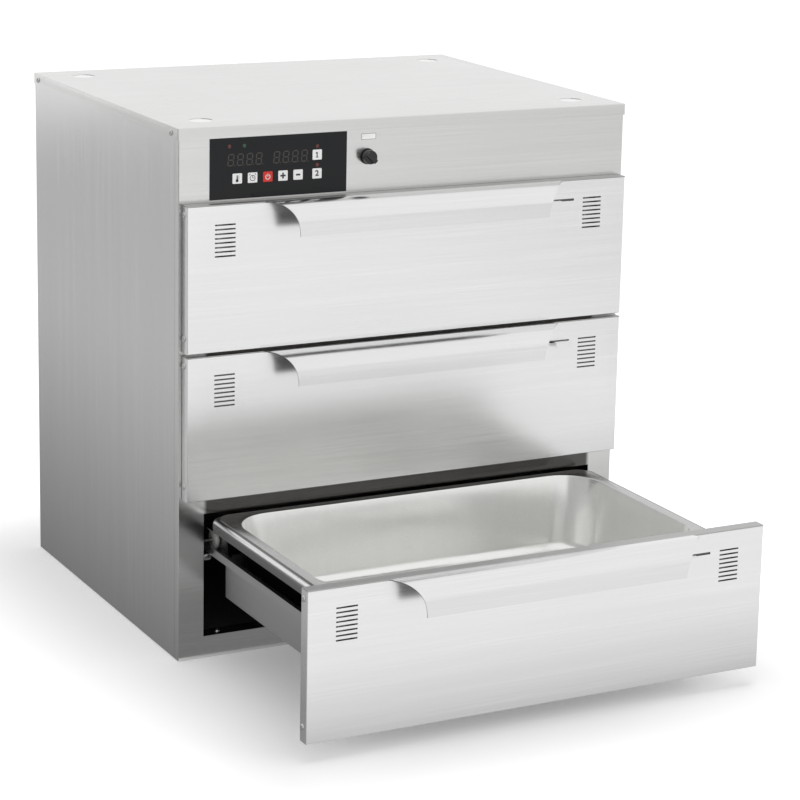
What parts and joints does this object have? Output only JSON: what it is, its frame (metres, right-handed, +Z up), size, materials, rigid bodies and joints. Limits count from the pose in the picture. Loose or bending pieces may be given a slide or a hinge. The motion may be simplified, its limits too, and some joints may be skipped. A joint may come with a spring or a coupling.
{
  "type": "food warmer drawer cabinet",
  "caption": "Free-standing stainless food warmer with stacked drawers that hold full-size pans, sliding vents, hood handles and a keypad control panel.",
  "frame": {"origin": "middle of the cabinet's footprint, on the surface that it stands on", "axes": "+X to the right-hand side seen from the front, +Y to the back, +Z up; the drawers pull out along -Y"},
  "size_m": [0.6274, 0.925, 0.67],
  "materials": {
    "cabinet_steel": "brushed",
    "front_steel": "brushed along X",
    "liner_steel": "satin",
    "pan_steel": "satin, deep drawn",
    "galvanised_steel": "galvanised",
    "turned_steel": "turned",
    "screw_steel": "polished",
    "heater_sheath": "matt",
    "mineral_wool": "matt",
    "membrane_black": "semi-gloss",
    "key_white": "matt",
    "key_red": "matt",
    "circuit_board": "matt",
    "lamp_lens": "gloss",
    "fuse_plastic": "semi-gloss",
    "gland_plastic": "matt",
    "roller_nylon": "matt"
  },
  "bodies": {
    "cabinet": {"lid": "cabinet_steel", "side_panel_left": "cabinet_steel", "side_panel_right": "cabinet_steel", "rear_panel": "galvanised_steel", "base_panel": "galvanised_steel", "face_frame": "cabinet_steel", "liner_panels": "liner_steel", "insulation_slabs": "mineral_wool", "guide_rails": "galvanised_steel", "roller_pins": "turned_steel", "heater_elements": "heater_sheath", "temperature_probe": "turned_steel", "membrane_panel": "membrane_black", "control_board": "circuit_board", "indicator_lamps": "lamp_lens", "fuse_holder": "fuse_plastic", "cable_gland": "gland_plastic", "cabinet_screws": "screw_steel"},
    "drawer_1": {"front_skin_1": "front_steel", "front_liner_1": "liner_steel", "handle_hood_1": "front_steel", "front_screws_1": "screw_steel", "carrier_frame_1": "liner_steel", "pan_1": "pan_steel", "runners_1": "liner_steel"},
    "vent_shutter_1": {"vent_shutter_1": "front_steel"},
    "rear_rollers_1": {"rear_rollers_1": "roller_nylon"},
    "support_rollers_1": {"support_rollers_1": "turned_steel"},
    "hold_rollers_1": {"hold_rollers_1": "roller_nylon"},
    "drawer_2": {"front_skin_2": "front_steel", "front_liner_2": "liner_steel", "handle_hood_2": "front_steel", "front_screws_2": "screw_steel", "carrier_frame_2": "liner_steel", "pan_2": "pan_steel", "runners_2": "liner_steel"},
    "vent_shutter_2": {"vent_shutter_2": "front_steel"},
    "rear_rollers_2": {"rear_rollers_2": "roller_nylon"},
    "support_rollers_2": {"support_rollers_2": "turned_steel"},
    "hold_rollers_2": {"hold_rollers_2": "roller_nylon"},
    "drawer_3": {"front_skin_3": "front_steel", "front_liner_3": "liner_steel", "handle_hood_3": "front_steel", "front_screws_3": "screw_steel", "carrier_frame_3": "liner_steel", "pan_3": "pan_steel", "runners_3": "liner_steel"},
    "vent_shutter_3": {"vent_shutter_3": "front_steel"},
    "rear_rollers_3": {"rear_rollers_3": "roller_nylon"},
    "support_rollers_3": {"support_rollers_3": "turned_steel"},
    "hold_rollers_3": {"hold_rollers_3": "roller_nylon"},
    "key_temperature": {"key_temperature": "key_white"},
    "key_timer": {"key_timer": "key_white"},
    "key_power": {"key_power": "key_red"},
    "key_plus": {"key_plus": "key_white"},
    "key_minus": {"key_minus": "key_white"},
    "key_zone_1": {"key_zone_1": "key_white"},
    "key_zone_2": {"key_zone_2": "key_white"},
    "fuse_cap": {"fuse_cap": "fuse_plastic"}
  },
  "joints": [
    {"name": "drawer_slide_1", "type": "slide", "parent": "cabinet", "child": "drawer_1", "axis": [0, -1, 0], "range_m": [0, 0.4]},
    {"name": "vent_slide_1", "type": "slide", "parent": "drawer_1", "child": "vent_shutter_1", "axis": [1, 0, 0], "range_m": [0, 0.022]},
    {"name": "rear_rollers_spin_1", "type": "hinge", "parent": "drawer_1", "child": "rear_rollers_1", "pos_m": [0, 0.1851, 0.512], "axis": [1, 0, 0], "range_deg": [-1, 2547.48]},
    {"name": "support_rollers_spin_1", "type": "hinge", "parent": "cabinet", "child": "support_rollers_1", "pos_m": [0, -0.2445, 0.5017], "axis": [1, 0, 0], "range_deg": [-1, 4584.66]},
    {"name": "hold_rollers_spin_1", "type": "hinge", "parent": "cabinet", "child": "hold_rollers_1", "pos_m": [0, -0.239, 0.5208], "axis": [1, 0, 0], "range_deg": [-1910.86, 1]},
    {"name": "drawer_slide_2", "type": "slide", "parent": "cabinet", "child": "drawer_2", "axis": [0, -1, 0], "range_m": [0, 0.4]},
    {"name": "vent_slide_2", "type": "slide", "parent": "drawer_2", "child": "vent_shutter_2", "axis": [1, 0, 0], "range_m": [-0.022, 0]},
    {"name": "rear_rollers_spin_2", "type": "hinge", "parent": "drawer_2", "child": "rear_rollers_2", "pos_m": [0, 0.1851, 0.326], "axis": [1, 0, 0], "range_deg": [-1, 2547.48]},
    {"name": "support_rollers_spin_2", "type": "hinge", "parent": "cabinet", "child": "support_rollers_2", "pos_m": [0, -0.2445, 0.3157], "axis": [1, 0, 0], "range_deg": [-1, 4584.66]},
    {"name": "hold_rollers_spin_2", "type": "hinge", "parent": "cabinet", "child": "hold_rollers_2", "pos_m": [0, -0.239, 0.3348], "axis": [1, 0, 0], "range_deg": [-1910.86, 1]},
    {"name": "drawer_slide_3", "type": "slide", "parent": "cabinet", "child": "drawer_3", "axis": [0, -1, 0], "range_m": [-0.348, 0.052]},
    {"name": "vent_slide_3", "type": "slide", "parent": "drawer_3", "child": "vent_shutter_3", "axis": [1, 0, 0], "range_m": [0, 0.022]},
    {"name": "rear_rollers_spin_3", "type": "hinge", "parent": "drawer_3", "child": "rear_rollers_3", "pos_m": [0, -0.1629, 0.14], "axis": [1, 0, 0], "range_deg": [-2216.44, 332.04]},
    {"name": "support_rollers_spin_3", "type": "hinge", "parent": "cabinet", "child": "support_rollers_3", "pos_m": [0, -0.2445, 0.1297], "axis": [1, 0, 0], "range_deg": [-3988.79, 596.88]},
    {"name": "hold_rollers_spin_3", "type": "hinge", "parent": "cabinet", "child": "hold_rollers_3", "pos_m": [0, -0.239, 0.1488], "axis": [1, 0, 0], "range_deg": [-249.28, 1662.58]},
    {"name": "key_temperature_press", "type": "slide", "parent": "cabinet", "child": "key_temperature", "axis": [0, 1, 0], "range_m": [0, 0.0005], "stiffness_N_per_m": 1500},
    {"name": "key_timer_press", "type": "slide", "parent": "cabinet", "child": "key_timer", "axis": [0, 1, 0], "range_m": [0, 0.0005], "stiffness_N_per_m": 1500},
    {"name": "key_power_press", "type": "slide", "parent": "cabinet", "child": "key_power", "axis": [0, 1, 0], "range_m": [0, 0.0005], "stiffness_N_per_m": 1500},
    {"name": "key_plus_press", "type": "slide", "parent": "cabinet", "child": "key_plus", "axis": [0, 1, 0], "range_m": [0, 0.0005], "stiffness_N_per_m": 1500},
    {"name": "key_minus_press", "type": "slide", "parent": "cabinet", "child": "key_minus", "axis": [0, 1, 0], "range_m": [0, 0.0005], "stiffness_N_per_m": 1500},
    {"name": "key_zone_1_press", "type": "slide", "parent": "cabinet", "child": "key_zone_1", "axis": [0, 1, 0], "range_m": [0, 0.0005], "stiffness_N_per_m": 1500},
    {"name": "key_zone_2_press", "type": "slide", "parent": "cabinet", "child": "key_zone_2", "axis": [0, 1, 0], "range_m": [0, 0.0005], "stiffness_N_per_m": 1500},
    {"name": "fuse_cap_turn", "type": "hinge", "parent": "cabinet", "child": "fuse_cap", "pos_m": [-0.06, -0.2525, 0.6225], "axis": [0, 1, 0], "range_deg": [0, 90]}
  ],
  "couplings": [
    {"joint": "rear_rollers_spin_1", "follows": "drawer_slide_1", "rad_per_m": 111.11},
    {"joint": "support_rollers_spin_1", "follows": "drawer_slide_1", "rad_per_m": 200},
    {"joint": "hold_rollers_spin_1", "follows": "drawer_slide_1", "rad_per_m": -83.333},
    {"joint": "rear_rollers_spin_2", "follows": "drawer_slide_2", "rad_per_m": 111.11},
    {"joint": "support_rollers_spin_2", "follows": "drawer_slide_2", "rad_per_m": 200},
    {"joint": "hold_rollers_spin_2", "follows": "drawer_slide_2", "rad_per_m": -83.333},
    {"joint": "rear_rollers_spin_3", "follows": "drawer_slide_3", "rad_per_m": 111.11},
    {"joint": "support_rollers_spin_3", "follows": "drawer_slide_3", "rad_per_m": 200},
    {"joint": "hold_rollers_spin_3", "follows": "drawer_slide_3", "rad_per_m": -83.333}
  ]
}
